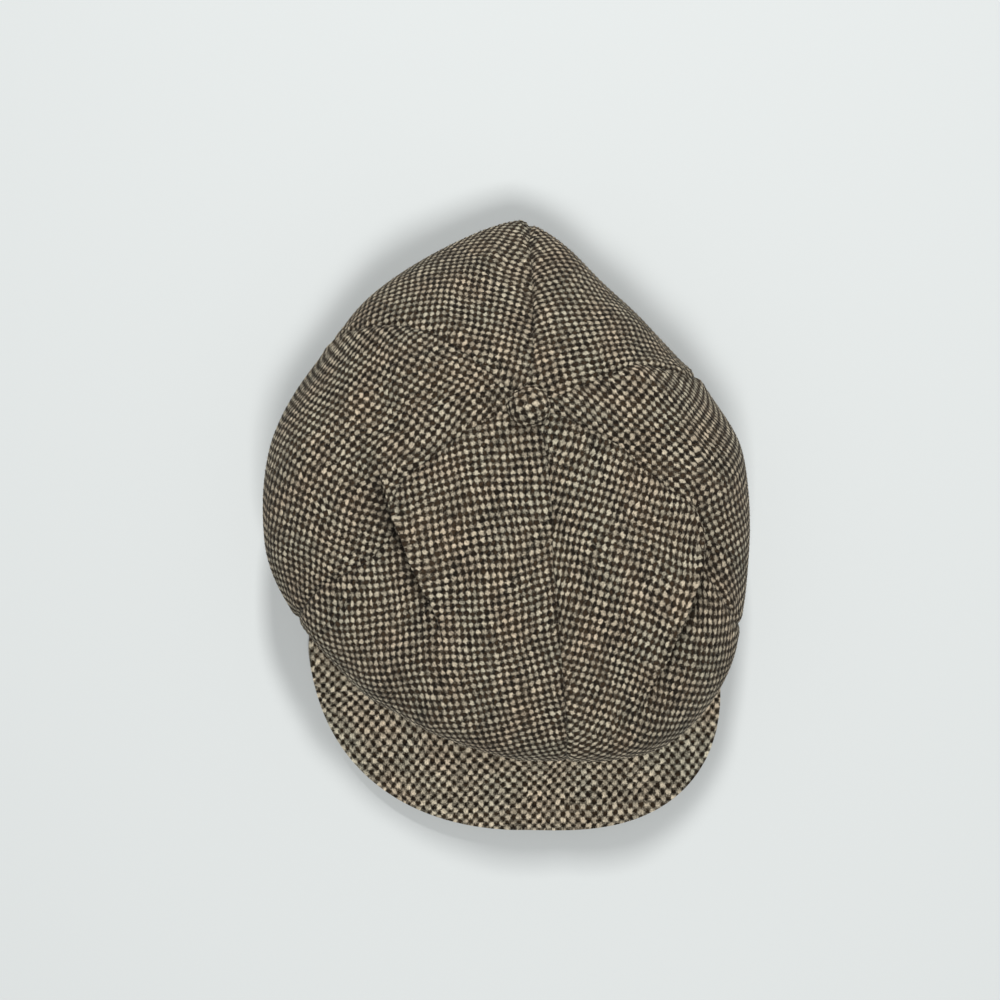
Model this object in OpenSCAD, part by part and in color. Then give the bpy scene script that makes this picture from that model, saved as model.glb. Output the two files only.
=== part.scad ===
// A six-panel newsboy cap: a soft full crown on a headband, with a stiff visor and a covered button.
// The visor points along -Y, the crown is up, and the origin is the centre of the head opening,
// on the plane that the headband stands on. All sizes are in millimetres.

/* [Head opening] */
// Length of the head opening, front to back, inside the sweatband
head_length = 205; // [170:1:246]
// Width of the head opening, inside the sweatband
head_width = 163; // [135:1:196]

/* [Headband] */
// Height of the headband at the back and sides
band_height = 28; // [23:1:36]
// Thickness of the stiff strip inside the headband
stiffener_thickness = 1; // [0.6:0.1:2]
// Thickness of the sweatband
sweatband_thickness = 1.2; // [0.8:0.1:2.4]
// How far the sweatband and the stiff strip stop short of the top of the headband
band_top_step = 1; // [0.5:0.5:3]
// Width of the care label on the sweatband
label_width = 24; // [16:1:36]
// Height of the care label
label_height = 16; // [10:1:20]
// Thickness of the care label
label_thickness = 0.4; // [0.3:0.1:0.8]

/* [Crown] */
// Height of the crown's cloth under the button
crown_height = 112; // [93:1:135]
// How far the crown hangs out past the headband in front
front_overhang = 20; // [10:1:30]
// How far the crown hangs out past the headband at each side
side_overhang = 34; // [20:1:45]
// How far the drawn-out back of the crown reaches past the headband
back_overhang = 47; // [34:1:58]
// Height of the crown's widest line in front and at the sides
edge_height = 58; // [48:1:68]
// Height of the crown's widest line at the drawn-out back
back_edge_height = 45; // [38:1:56]
// How far the button sits behind the middle of the head opening
button_set_back = 58; // [30:1:70]
// How far the soft crown leans to the wearer's left
crown_lean = 14; // [0:1:18]
// How far the slack crown hangs in at the wearer's right front
front_sag = 13; // [0:1:18]
// How far the slack crown hangs in at the wearer's left back
back_sag = 10; // [0:1:14]
// How far each panel puffs out between its seams
panel_puff = 3; // [0:0.5:5]
// How far the seams between side and back panels bow back
back_seam_bow = 12; // [0:1:20]
// Degrees that the seams beside the front panels swing back as they near the button
side_seam_sweep = 28; // [0:1:34]
// Corner of a front panel, as an angle round the crown from the front
front_panel_angle = 68; // [55:1:80]
// Far corner of a side panel, as an angle round the crown from the front
side_panel_angle = 124; // [110:1:140]
// Thickness of the crown's woollen cloth
crown_cloth = 2; // [1.4:0.1:2.8]

/* [Lining] */
// Thickness of the lining
lining_thickness = 1; // [0.6:0.1:1.6]
// Room between the crown's cloth and the lining under the button
lining_room = 2.6; // [2:0.1:5]
// How much further in the lining lies at the crown's widest line
lining_slack = 5; // [3:0.5:10]

/* [Visor] */
// How far the visor reaches past the headband in front
visor_reach = 52; // [40:1:66]
// How much the visor has been bent out at the wearer's left corner and in at the right
visor_skew = 8; // [0:1:10]
// How far the visor flares out past the headband at each side
visor_flare = 21; // [14:1:28]
// How far the visor's widest line lies in front of its two ends
horn_setback = 28; // [20:1:36]
// How far the visor's arch lifts the front of the headband
visor_arch = 9; // [5:0.5:12]
// How far the visor slopes down from the headband to its edge
visor_drop = 1; // [0:0.5:2]
// How high the visor's sides stand over the plane that the headband stands on
horn_clearance = 3; // [1:0.2:4]
// Thickness of the visor board
board_thickness = 1.8; // [1.2:0.1:2.6]
// How far the board stops short of the edge of its covers
board_margin = 5; // [3:0.5:8]
// Thickness of each visor cover
visor_cloth = 1.7; // [1.2:0.1:2.2]

/* [Button] */
// Diameter of the covered button
button_diameter = 20; // [14:1:26]
// Height of the covered button above the crown
button_height = 6.5; // [5:0.5:9]
// Thickness of the cloth on the button
button_cloth = 1.2; // [0.8:0.1:1.6]
// Thickness of the pressed metal of the button
button_metal = 0.6; // [0.4:0.1:1]
// Diameter of the shank that goes through the crown
shank_diameter = 3; // [2:0.2:4]
// Diameter of the washer that holds the shank inside
washer_diameter = 14; // [10:1:20]

/* [Fits] */
// Gap between pieces that are sewn or pressed together
sewn_gap = 0.3; // [0.2:0.1:0.5]
// Gap between the visor and the headband, which the visor moves past
visor_gap = 0.8; // [0.6:0.1:1.5]

/* [Hidden] */

tweed = [0.42, 0.38, 0.32];
visor_tweed = [0.47, 0.44, 0.39];
satin = [0.16, 0.15, 0.15];
cotton = [0.12, 0.11, 0.11];
buckram = [0.86, 0.83, 0.75];
steel = [0.72, 0.72, 0.74];

// The headband's layers, from its face inwards
stiffener_inset = crown_cloth + sewn_gap;
sweatband_inset = stiffener_inset + stiffener_thickness + sewn_gap;
label_inset = sweatband_inset + sweatband_thickness + sewn_gap;
band_depth = sweatband_inset + sweatband_thickness;
band_x = head_width / 2 + band_depth;
band_y = head_length / 2 + band_depth;
band_facets = 96;
layer_top = band_height - band_top_step;
layer_foot = 0.4;

// The crown's plan
crown_x = band_x + side_overhang;
crown_front = band_y + front_overhang;
crown_back = band_y + back_overhang;
crown_foot = band_height + sewn_gap;
lean_turn = asin(crown_lean / crown_front);
button_place = [crown_lean, button_set_back];
button_hole = shank_diameter / 2 + 1;
lining_hole = 0.5;
top_share = 0.62;
lining_inset = crown_cloth + lining_room;
lining_fall = 14;

// The visor's plan
horn_angle = 72;
side_angle = 50;
visor_half = band_x + visor_flare;
horn = [band_x * sin(horn_angle), -band_y * cos(horn_angle)];
visor_side_y = horn.y - horn_setback;
visor_tip = band_y + visor_reach;
visor_half_depth = board_thickness / 2 + sewn_gap + visor_cloth;
horn_height = visor_half_depth + horn_clearance;
horn_width = 3;
board_turn = 158;

// The button's levels, from the crown's cloth up
button_radius = button_diameter / 2;
shell_radius = button_radius - button_cloth - sewn_gap;
back_radius = shell_radius - button_metal - sewn_gap;
button_foot = crown_height + sewn_gap;
washer_under = crown_height - crown_cloth - 3 * sewn_gap - button_metal;

function blend(a, b, share) = a + (b - a) * share;
function curve(a, b, c, d, t) =
    a * pow(1 - t, 3) + b * 3 * t * pow(1 - t, 2) + c * 3 * t * t * (1 - t) + d * pow(t, 3);
function unit(v) = v / norm(v);
function ease(t) = t * t * (3 - 2 * t);
function clamp(value) = min(1, max(0, value));

// A point on the headband's oval, at an angle from the front and an inset from its face
function band_point(angle, inset) =
    [(band_x - inset) * sin(angle), -(band_y - inset) * cos(angle)];

// A signed power, for the rounded-square curves of the crown and the visor
function shaped(value, power) = sign(value) * pow(abs(value), power);

// 0 at the front and sides of the crown, 1 at its drawn-out back
function backness(angle) = ease(clamp((abs(angle) - 90) / 90));

// How much of the lean the crown's widest line takes: all of it in front, and the back's point
// drawn a little further still
function lean_share(angle) =
    cos(angle) > 0 ? ease(cos(angle)) : 1.2 * pow(backness(angle), 2.5);

// A dip where the slack crown hangs in: it is deepest at middle, and width degrees from side to side
function dip(angle, middle, width, depth) =
    depth * ease(clamp(1 - 2 * abs(angle - middle) / width)) * [-sin(middle), cos(middle)];

// A point on the crown's widest line: an oval in front, drawn to a soft point at the back
function rim_point(angle, inset) =
    let (behind = abs(angle) > 90)
    let (reach = (behind ? crown_back : crown_front) - inset)
    let (x = (crown_x - inset) * shaped(sin(angle), behind ? 1.44 : 0.95))
    [x + crown_lean * lean_share(angle), -reach * shaped(cos(angle), 0.95)]
        + dip(angle, -31, 150, front_sag) + dip(angle, 140, 80, back_sag);

// The angle that a panel's line lies at: near the button the front panels spread sideways
function swept(angle, t) =
    let (size = abs(angle))
    let (near_seam = size < front_panel_angle
        ? size / front_panel_angle
        : clamp((side_panel_angle - size) / (side_panel_angle - front_panel_angle)))
    angle + sign(angle) * side_seam_sweep * ease(near_seam) * ease(clamp(1 - 2 * t));

// A point on the crown: t runs from 0 at the button over the widest line to 1 at the headband.
// foot is the inset and the height at which the sheet meets the headband, and how steeply it
// comes down to it: 0 for a sheet that rolls in under the crown, or the height of its fall.
function crown_point(seam_angle, t, inset, slack, puff, hole, foot) =
    let (line = swept(seam_angle, t))
    let (leant = line + lean_turn * cos(line))
    let (angle = leant < -180 ? leant + 360 : leant)
    let (rim = rim_point(angle, inset + slack - puff))
    let (top = crown_height - inset)
    let (widest = blend(edge_height, back_edge_height, backness(angle)))
    let (full = blend(0.78, 0.25, backness(angle)))
    let (flat = blend(0.55, 0.3, backness(angle)))
    let (bow = [0, back_seam_bow * 2 * max(0, -cos(angle)) * abs(sin(angle))])
    t <= top_share
        ? let (k = t / top_share)
          let (s = curve(0, flat, 1, 1, k))
          let (start = button_place + hole * unit(rim - button_place))
          let (plan = blend(start, rim, s) + bow * 4 * s * (1 - s))
          let (z = curve(top, top, blend(widest, top, full), widest, k))
          [plan.x, plan.y, z + puff * sin(180 * k) * 0.7]
        : let (k = (t - top_share) / (1 - top_share))
          let (base = band_point(seam_angle, foot.x))
          let (plan = blend(rim, base, curve(0, 0, foot.z > 0 ? 1 : 0.72, 1, k)))
          let (z = curve(widest, blend(widest, foot.y, 0.62), foot.y + foot.z, foot.y, k))
          [plan.x, plan.y, z];

// One face of a panel, as rows of points from the button to the headband
function panel_face(from, to, inset, slack, hole, foot, steps) = [
    for (i = [0 : steps.y])
        let (t = i / steps.y)
        let (trim = asin(sewn_gap / 2 / blend(hole + 1, crown_x, clamp(t / top_share))))
        [for (j = [0 : steps.x])
            let (u = j / steps.x)
            crown_point(
                blend(from + trim, to - trim, u), t, inset, slack,
                panel_puff * sin(180 * u) * clamp(4 * t) * clamp(4 * (1 - t)), hole, foot
            )]
];

function quad(a, b, c, d) = [[a, b, c], [a, c, d]];

// A closed sheet between two faces that have the same rows and columns of points
module sheet(outer, inner) {
    rows = len(outer);
    columns = len(outer[0]);
    count = rows * columns;
    last = count - 1;
    edge = concat(
        [for (c = [0 : columns - 1]) c],
        [for (r = [1 : rows - 1]) r * columns + columns - 1],
        [for (c = [1 : columns - 1]) last - c],
        [for (r = [rows - 2 : -1 : 1]) r * columns]
    );
    faces = concat(
        [for (r = [0 : rows - 2], c = [0 : columns - 2])
            let (a = r * columns + c)
            each quad(a, a + columns, a + columns + 1, a + 1)],
        [for (r = [0 : rows - 2], c = [0 : columns - 2])
            let (a = r * columns + c + count)
            each quad(a, a + 1, a + columns + 1, a + columns)],
        [for (i = [0 : len(edge) - 1])
            let (a = edge[i])
            let (b = edge[(i + 1) % len(edge)])
            each quad(a, b, b + count, a + count)]
    );
    polyhedron(
        points = concat([for (row = outer, p = row) p], [for (row = inner, p = row) p]),
        faces = faces
    );
}

module crown_panel(from, to) {
    steps = [8, 20];
    outer_foot = [0, crown_foot, 0];
    inner_foot = [0.6, crown_foot + crown_cloth, 0];
    color(tweed)
        sheet(
            panel_face(from, to, 0, 0, button_hole, outer_foot, steps),
            panel_face(from, to, crown_cloth, 0, button_hole, inner_foot, steps)
        );
}

module lining_panel(from, to) {
    steps = [6, 14];
    outer_foot = [stiffener_inset, crown_foot, lining_fall];
    inner_foot = [stiffener_inset + lining_thickness, crown_foot, lining_fall];
    color(satin)
        sheet(
            panel_face(from, to, lining_inset, lining_slack, lining_hole, outer_foot, steps),
            panel_face(
                from, to, lining_inset + lining_thickness, lining_slack, lining_hole,
                inner_foot, steps
            )
        );
}

// The curve that the visor cuts out of the front of the headband's lower edge
module front_arch(lift) {
    columns = 24;
    curve_points = [
        for (i = [0 : columns])
            let (share = 2 * i / columns - 1)
            [horn.x * share, lift + visor_arch * (1 - share * share)]
    ];
    translate([0, horn.y, 0])
        rotate([90, 0, 0])
            linear_extrude(height = band_y)
                polygon(concat([[-horn.x, -1]], curve_points, [[horn.x, -1]]));
}

// A strip round the head, from an inset to an inset, with the visor's arch in front
module head_strip(from, to, foot, top) {
    angles = [for (i = [0 : band_facets - 1]) 360 * i / band_facets];
    difference() {
        translate([0, 0, foot])
            linear_extrude(height = top - foot)
                difference() {
                    polygon([for (a = angles) band_point(a, from)]);
                    polygon([for (a = angles) band_point(a, to)]);
                }
        front_arch(foot);
    }
}

module headband() {
    color(tweed)
        head_strip(0, crown_cloth, 0, band_height);
}

module band_stiffener() {
    color(buckram)
        head_strip(stiffener_inset, stiffener_inset + stiffener_thickness, layer_foot, layer_top);
}

module sweatband() {
    color(cotton)
        head_strip(sweatband_inset, band_depth, layer_foot, layer_top);
}

module care_label() {
    half_angle = asin(label_width / 2 / band_x);
    top = layer_top - 2;
    columns = 8;
    angles = [for (i = [0 : columns]) 180 + half_angle * (1 - 2 * i / columns)];
    levels = [top, top - label_height];
    outer = [for (z = levels) [for (a = angles) concat(band_point(a, label_inset), z)]];
    inner = [
        for (z = levels)
            [for (a = angles) concat(band_point(a, label_inset + label_thickness), z)]
    ];
    color("ivory")
        sheet(inner, outer);
}

// A point on the visor's edge: turn runs from -180 at one horn over 0 at the tip to 180
function visor_edge(turn, margin) =
    let (side = abs(turn) > 90)
    let (span = visor_half - margin / 2 - (side ? horn.x + horn_width : margin / 2))
    let (base = side ? horn.x + horn_width - margin / 2 : 0)
    let (x = sign(turn) * (base + span * pow(abs(sin(turn)), 0.77)))
    let (reach = (side ? horn.y - visor_side_y : visor_tip + visor_side_y) - margin)
    [x, visor_side_y - reach * shaped(cos(turn), side ? 1 : 0.77)]
        + (side ? 0 : visor_skew * sin(2 * turn)) * [sin(turn), -cos(turn)];

// The point on the headband that lies behind a point of the visor's edge
function visor_root(turn) =
    let (size = abs(turn))
    let (angle = size > 90
        ? blend(side_angle, horn_angle, size / 90 - 1)
        : side_angle * size / 90)
    band_point(sign(turn) * angle, -visor_gap);

// The height of the visor's middle: arched from side to side, and sloping down from its root
function visor_height(plan, root) =
    horn_height + visor_arch * (1 - pow(plan.x / visor_half, 2))
        - visor_drop * norm(plan - root) / visor_reach;

// The share of a cover's width, from the headband, at which it starts to close round the board
function closing_share(root, edge) =
    max(0.5, 1 - (board_margin - 3 * sewn_gap) / norm(edge - root));

// How far a cover lies from the middle of the visor: the two covers close round the board's edge
function cover_offset(share, closing) =
    blend(
        board_thickness / 2 + sewn_gap, sewn_gap / 2,
        ease(clamp((share - closing) / (1 - closing)))
    );

// One face of a visor layer, from near one end to the other and from the headband to the edge
function visor_face(end_turn, margin, lift, cover, steps) = [
    for (i = [0 : steps.x])
        let (turn = end_turn * (2 * i / steps.x - 1))
        let (root = visor_root(turn))
        let (edge = visor_edge(turn, margin))
        let (closing = closing_share(root, edge))
        [for (j = [0 : steps.y])
            let (share = cover == 0 || j == steps.y
                ? j / steps.y
                : j == steps.y - 1 ? (1 + closing) / 2 : closing * j / (steps.y - 2))
            let (plan = blend(root, edge, share))
            let (middle = visor_height(plan, root))
            [plan.x, plan.y, middle + lift + cover * cover_offset(share, closing)]]
];

module visor_top_cover() {
    steps = [36, 8];
    color(visor_tweed)
        sheet(visor_face(180, 0, visor_cloth, 1, steps), visor_face(180, 0, 0, 1, steps));
}

module visor_under_cover() {
    steps = [36, 8];
    color(visor_tweed)
        sheet(visor_face(180, 0, 0, -1, steps), visor_face(180, 0, -visor_cloth, -1, steps));
}

module visor_board() {
    steps = [36, 4];
    color("white")
        sheet(
            visor_face(board_turn, board_margin, board_thickness / 2, 0, steps),
            visor_face(board_turn, board_margin, -board_thickness / 2, 0, steps)
        );
}

// A quarter of an oval dome's outline, from its rim to its top
function dome(radius, height, foot) = [
    for (i = [0 : 10])
        [radius * cos(9 * i), foot + height * sin(9 * i)]
];

// A hollow turned dome over the button's place, open at its foot
module button_dome(radius, height, foot, wall) {
    outside = dome(radius, height, foot);
    inside = dome(radius - wall, height - wall, foot);
    translate([button_place.x, button_place.y, 0])
        rotate_extrude($fn = 48)
            polygon(concat(outside, [for (i = [len(inside) - 1 : -1 : 0]) inside[i]]));
}

module button_cover() {
    color(tweed)
        button_dome(button_radius, button_height, button_foot, button_cloth);
}

module button_shell() {
    gap = button_cloth + sewn_gap;
    color(steel)
        button_dome(shell_radius, button_height - gap, button_foot, button_metal);
}

module button_back() {
    shank_length = button_foot - washer_under + button_metal;
    color(steel)
        translate([button_place.x, button_place.y, button_foot]) {
            cylinder(r = back_radius, h = button_metal, $fn = 48);
            translate([0, 0, -shank_length])
                cylinder(d = shank_diameter, h = shank_length, $fn = 32);
        }
}

module button_washer() {
    translate([button_place.x, button_place.y, washer_under])
        color(steel)
            difference() {
                cylinder(d = washer_diameter, h = button_metal, $fn = 48);
                translate([0, 0, -1])
                    cylinder(d = shank_diameter + 2 * sewn_gap, h = button_metal + 2, $fn = 32);
            }
}

crown_panel(0, front_panel_angle);  // crown_panel_front_left
crown_panel(-front_panel_angle, 0);  // crown_panel_front_right
crown_panel(front_panel_angle, side_panel_angle);  // crown_panel_side_left
crown_panel(-side_panel_angle, -front_panel_angle);  // crown_panel_side_right
crown_panel(side_panel_angle, 180);  // crown_panel_back_left
crown_panel(-180, -side_panel_angle);  // crown_panel_back_right
lining_panel(0, front_panel_angle);  // lining_panel_front_left
lining_panel(-front_panel_angle, 0);  // lining_panel_front_right
lining_panel(front_panel_angle, side_panel_angle);  // lining_panel_side_left
lining_panel(-side_panel_angle, -front_panel_angle);  // lining_panel_side_right
lining_panel(side_panel_angle, 180);  // lining_panel_back_left
lining_panel(-180, -side_panel_angle);  // lining_panel_back_right
button_cover();
button_shell();
button_back();
button_washer();
headband();
band_stiffener();
sweatband();
care_label();
visor_top_cover();
visor_board();
visor_under_cover();
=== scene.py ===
"""A six-panel newsboy cap in basket-weave tweed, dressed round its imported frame.

The cap is made in the order that a capmaker sews it: the crown's panels, the button, the
lining, the headband with its sweatband, and the visor. The visor points along -Y and the crown
is up. Sizes are in metres.
"""
import math

import bmesh
import bpy
import mathutils
import numpy as np
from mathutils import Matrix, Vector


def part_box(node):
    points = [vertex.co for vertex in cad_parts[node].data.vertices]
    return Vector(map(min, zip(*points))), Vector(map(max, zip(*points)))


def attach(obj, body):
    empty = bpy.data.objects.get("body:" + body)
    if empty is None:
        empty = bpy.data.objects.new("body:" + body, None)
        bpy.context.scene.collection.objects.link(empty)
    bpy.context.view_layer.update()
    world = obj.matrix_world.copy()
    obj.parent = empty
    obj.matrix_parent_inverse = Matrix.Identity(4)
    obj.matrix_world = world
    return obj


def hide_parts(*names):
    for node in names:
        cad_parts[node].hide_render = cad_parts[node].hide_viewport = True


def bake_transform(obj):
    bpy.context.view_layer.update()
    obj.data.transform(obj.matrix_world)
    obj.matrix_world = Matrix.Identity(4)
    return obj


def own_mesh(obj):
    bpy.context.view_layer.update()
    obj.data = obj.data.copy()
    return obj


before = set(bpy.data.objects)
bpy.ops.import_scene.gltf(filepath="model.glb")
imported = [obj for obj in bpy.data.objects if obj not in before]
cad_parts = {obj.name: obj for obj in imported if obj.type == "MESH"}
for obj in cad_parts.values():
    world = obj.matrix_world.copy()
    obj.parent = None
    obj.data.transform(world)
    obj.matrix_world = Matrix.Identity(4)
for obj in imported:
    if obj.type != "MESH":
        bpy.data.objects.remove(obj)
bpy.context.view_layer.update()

# ---------------------------------------------------------------------------------------------
# Crown panels
# Six gores of thick woollen tweed, cut near the straight grain, sewn edge to edge from the button
# to the headband with their allowances pressed open inside. They stand full in front, drop away at
# the sides and are drawn to a soft point at the back.
# ---------------------------------------------------------------------------------------------
MM = 0.001
band_x, band_y, band_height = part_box("headband")[1]
button_low, button_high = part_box("button_cover")
button_place = np.array([button_low.x + button_high.x, button_low.y + button_high.y]) / 2
sewn_gap = 0.3 * MM
crown_cloth = 2 * MM
crown_height = button_low.z - sewn_gap
crown_lean = button_place[0]
crown_x = band_x + 34 * MM
crown_front = band_y + 20 * MM
crown_back = band_y + 47 * MM
edge_height = 58 * MM
back_edge_height = 45 * MM
crown_foot = band_height + sewn_gap
lean_turn = math.degrees(math.asin(crown_lean / crown_front))
top_share = 0.62  # the share of a panel's length that lies above the crown's widest line
panel_puff = 3 * MM
block = 2.55 * MM  # two yarns of the basket weave, side by side
weave_depth = 0.42 * MM  # from the crossings to the top of a block
# The line of each seam round the crown: how many degrees it swings from its place on the
# headband, at shares of the way down from the button.
seam_lines = {
    0: ((0, 0.03, 0.08, 0.16, 0.28, 0.53, 0.62, 1), (24, 24, 9, 0, -2, -3.7, -3.7, 0)),
    68: ((0, 0.17, 0.21, 0.25, 0.31, 0.36, 0.45, 0.53, 0.62, 1),
         (29, 23, 19, 17.5, 15.5, 3, -3, -6, -5, 0)),
    124: ((0, 0.05, 0.27, 0.48, 0.62, 1), (-9, -9, -3, -5, -3, 0)),
    180: ((0, 0.05, 0.26, 0.46, 1), (-8, -8, -2, 1, 0)),
    -124: ((0, 0.05, 0.22, 0.6, 1), (-4, -4, -6, -1, 0)),
    -68: ((0, 0.05, 0.12, 0.18, 0.205, 0.24, 0.3, 0.41, 0.62, 1),
          (-28, -27, -22, -18.5, -15, -3.5, -2.5, -6, -4, 0)),
}
seam_lines[-180] = seam_lines[180]


def ease(t):
    t = np.clip(t, 0, 1)
    return t * t * (3 - 2 * t)


def curve(a, b, c, d, t):
    return a * (1 - t) ** 3 + b * 3 * t * (1 - t) ** 2 + c * 3 * t * t * (1 - t) + d * t ** 3


def blend(a, b, share):
    return a + (b - a) * share


def shaped(value, power):
    return np.sign(value) * np.abs(value) ** power


def band_point(angle, inset):
    """A point on the headband's oval, at an angle in degrees from the front."""
    turn = np.radians(angle)
    return np.stack([(band_x - inset) * np.sin(turn), -(band_y - inset) * np.cos(turn)], -1)


def dip(angle, middle, width, depth):
    """How far the slack crown hangs in: deepest at middle, and width degrees across."""
    way = np.array([-math.sin(math.radians(middle)), math.cos(math.radians(middle))])
    return (depth * ease(1 - 2 * np.abs(angle - middle) / width))[..., None] * way


def crown_point(line, seam_angle, t, inset, slack, puff, foot_inset, foot_z, fall):
    """A point on the crown: t runs from 0 at the button over the widest line to 1 at the band.

    line is the angle round the crown, and seam_angle the angle that it starts from at the
    band. fall is 0 for cloth that rolls in under the crown, or the height of its steep fall.
    """
    angle = line + lean_turn * np.cos(np.radians(line))
    angle = np.where(angle < -180, angle + 360, angle)
    turn = np.radians(angle)
    back = ease((np.abs(angle) - 90) / 90)
    behind = np.abs(angle) > 90
    out = inset + slack - puff
    x = (crown_x - out) * shaped(np.sin(turn), np.where(behind, 1.44, 0.95))
    x += crown_lean * np.where(behind, 1.2 * back ** 2.5, ease(np.cos(turn)))
    y = -(np.where(behind, crown_back, crown_front) - out) * shaped(np.cos(turn), 0.95)
    rim = np.stack([x, y], -1)
    rim += dip(angle, -31, 150, 13 * MM) + dip(angle, 140, 80, 10 * MM)
    top = crown_height - inset
    widest = blend(edge_height, back_edge_height, back)
    k = np.clip(t / top_share, 0, 1)
    s = curve(0, blend(0.55, 0.3, back), 1, 1, k)
    away = rim - button_place
    start = button_place + 1.5 * MM * away / np.linalg.norm(away, axis=-1, keepdims=True)
    over = blend(start, rim, s[..., None])
    bow = 24 * MM * np.clip(-np.cos(turn), 0, 1) * np.abs(np.sin(turn))
    over[..., 1] += bow * 4 * s * (1 - s)
    over_z = curve(top, top, blend(widest, top, blend(0.78, 0.25, back)), widest, k)
    over_z += puff * np.sin(np.pi * k) * 0.7
    j = np.clip((t - top_share) / (1 - top_share), 0, 1)
    base = band_point(seam_angle, foot_inset)
    under = blend(rim, base, curve(0, 0, 1 if fall else 0.72, 1, j)[..., None])
    under_z = curve(widest, blend(widest, foot_z, 0.62), foot_z + fall, foot_z, j)
    upper = t <= top_share
    plan = np.where(upper[..., None], over, under)
    return np.concatenate([plan, np.where(upper, over_z, under_z)[..., None]], -1)


def panel_lines(start, end, rows, columns):
    """A panel's angle round the crown, its angle at the band and its share of the way down."""
    t = np.linspace(0, 1, rows)[:, None] * np.ones(columns)
    u = np.ones((rows, 1)) * np.linspace(0, 1, columns)
    swing = blend(np.interp(t, *seam_lines[start]), np.interp(t, *seam_lines[end]), u)
    band_angle = blend(float(start), float(end), u)
    return band_angle + swing, band_angle, t, u


def spline_weights(knots, samples):
    """A matrix that takes values at evenly spaced knots to a smooth curve through them."""
    place = np.clip(samples, 0, 1) * (knots - 1)
    first = np.minimum(place.astype(int), knots - 2)
    x = place - first
    parts = [
        -0.5 * x + x ** 2 - 0.5 * x ** 3,
        1 - 2.5 * x ** 2 + 1.5 * x ** 3,
        0.5 * x + 2 * x ** 2 - 1.5 * x ** 3,
        -0.5 * x ** 2 + 0.5 * x ** 3,
    ]
    weights = np.zeros((len(samples), knots))
    for step, part in enumerate(parts):
        near = np.clip(first + step - 1, 0, knots - 1)
        np.add.at(weights, (np.arange(len(samples)), near), part)
    return weights


def refine(grid, rows, columns):
    """A grid of points or cloth coordinates, drawn finer along its rows and columns."""
    down = spline_weights(grid.shape[0], np.linspace(0, 1, rows))
    across = spline_weights(grid.shape[1], np.linspace(0, 1, columns))
    half = np.tensordot(down, grid, axes=(1, 0))
    return np.tensordot(half, across, axes=(1, 1)).swapaxes(1, 2)


def normals_of(grid):
    """Unit normals of a grid of points whose rows run down and columns to the wearer's left."""
    down, across = np.gradient(grid, axis=0), np.gradient(grid, axis=1)
    normal = np.cross(down, across)
    return normal / np.maximum(np.linalg.norm(normal, axis=-1, keepdims=True), 1e-12)


def length_along(grid, axis):
    """How far each point lies along its row or column."""
    step = np.linalg.norm(np.diff(grid, axis=axis), axis=-1)
    start = np.zeros_like(step[:1] if axis == 0 else step[:, :1])
    return np.concatenate([start, np.cumsum(step, axis=axis)], axis=axis)


def sway(place, seed, waves):
    """Soft uneven swelling: a few sine waves in set directions. waves gives length and height."""
    rng = np.random.default_rng(seed)
    total = np.zeros(place.shape[:-1])
    for wavelength, amount in waves:
        for _ in range(3):
            way = rng.normal(size=place.shape[-1])
            way *= 2 * np.pi / wavelength / np.linalg.norm(way)
            total += amount * np.sin(place @ way + rng.uniform(0, 2 * np.pi)) / 1.7
    return total


def wander(uv, seed):
    """The slow, small drift of the yarns, in the cloth's own coordinates."""
    waves = ((70 * MM, 0.9 * MM), (31 * MM, 0.4 * MM), (13 * MM, 0.18 * MM))
    return uv + np.stack([sway(uv, seed, waves), sway(uv, seed + 1, waves)], -1)


def settle(uv, grid, rounds):
    """Lets the cloth give way until its own coordinates are spaced as the surface is."""
    pairs = []
    for down, across in ((0, 1), (1, 0), (1, 1), (1, -1)):
        a = (slice(0, grid.shape[0] - down), slice(max(0, -across), grid.shape[1] - max(0, across)))
        b = (slice(down, grid.shape[0]), slice(max(0, across), grid.shape[1] - max(0, -across)))
        pairs.append((a, b, np.linalg.norm(grid[b] - grid[a], axis=-1)))
    for _ in range(rounds):
        move = np.zeros_like(uv)
        for a, b, wanted in pairs:
            gap = uv[b] - uv[a]
            now = np.maximum(np.linalg.norm(gap, axis=-1), 1e-9)
            pull = gap * ((now - wanted) / now)[..., None] / 10
            move[a] += pull
            move[b] -= pull
        uv = uv + move
    return uv


def weave_relief(uv):
    """Height of the basket weave, from 0 in the crossings to 1 on top of a block."""
    wave = np.sin(np.pi * uv[..., 0] / block) * np.sin(np.pi * uv[..., 1] / block)
    return wave ** 2


def as_mesh(shape, name):
    """Turns an edited shape into a mesh."""
    mesh = bpy.data.meshes.new(name)
    shape.to_mesh(mesh)
    shape.free()
    return mesh


def new_object(name, data):
    """Puts an object with this mesh, lamp or camera into the scene."""
    made = bpy.data.objects.new(name, data)
    bpy.context.scene.collection.objects.link(made)
    return made


def cloth_object(name, grid, uv, material, crease=None):
    """A sheet of cloth through a grid of points, with the cloth's own coordinates as its UVs.

    crease is how far each point lies down in a seam or a fold, where the tweed's colour is darkened as
    painted shade.
    """
    rows, columns = grid.shape[:2]
    sheet = bmesh.new()
    bmesh.ops.create_grid(sheet, x_segments=columns - 1, y_segments=rows - 1, size=1, calc_uvs=False)
    mesh = as_mesh(sheet, name)
    mesh.vertices.foreach_set("co", grid.reshape(-1).astype(np.float32))
    corner = np.empty(len(mesh.loops), np.int32)
    mesh.loops.foreach_get("vertex_index", corner)
    layer = mesh.uv_layers.new(name="cloth")
    layer.data.foreach_set("uv", uv.reshape(-1, 2)[corner].reshape(-1).astype(np.float32))
    if crease is not None:
        kept = mesh.attributes.new("crease", "FLOAT", "POINT")
        kept.data.foreach_set("value", crease.reshape(-1).astype(np.float32))
    mesh.flip_normals()
    mesh.update()
    mesh.shade_smooth()
    mesh.materials.append(material)
    return new_object(name, mesh)


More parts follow.
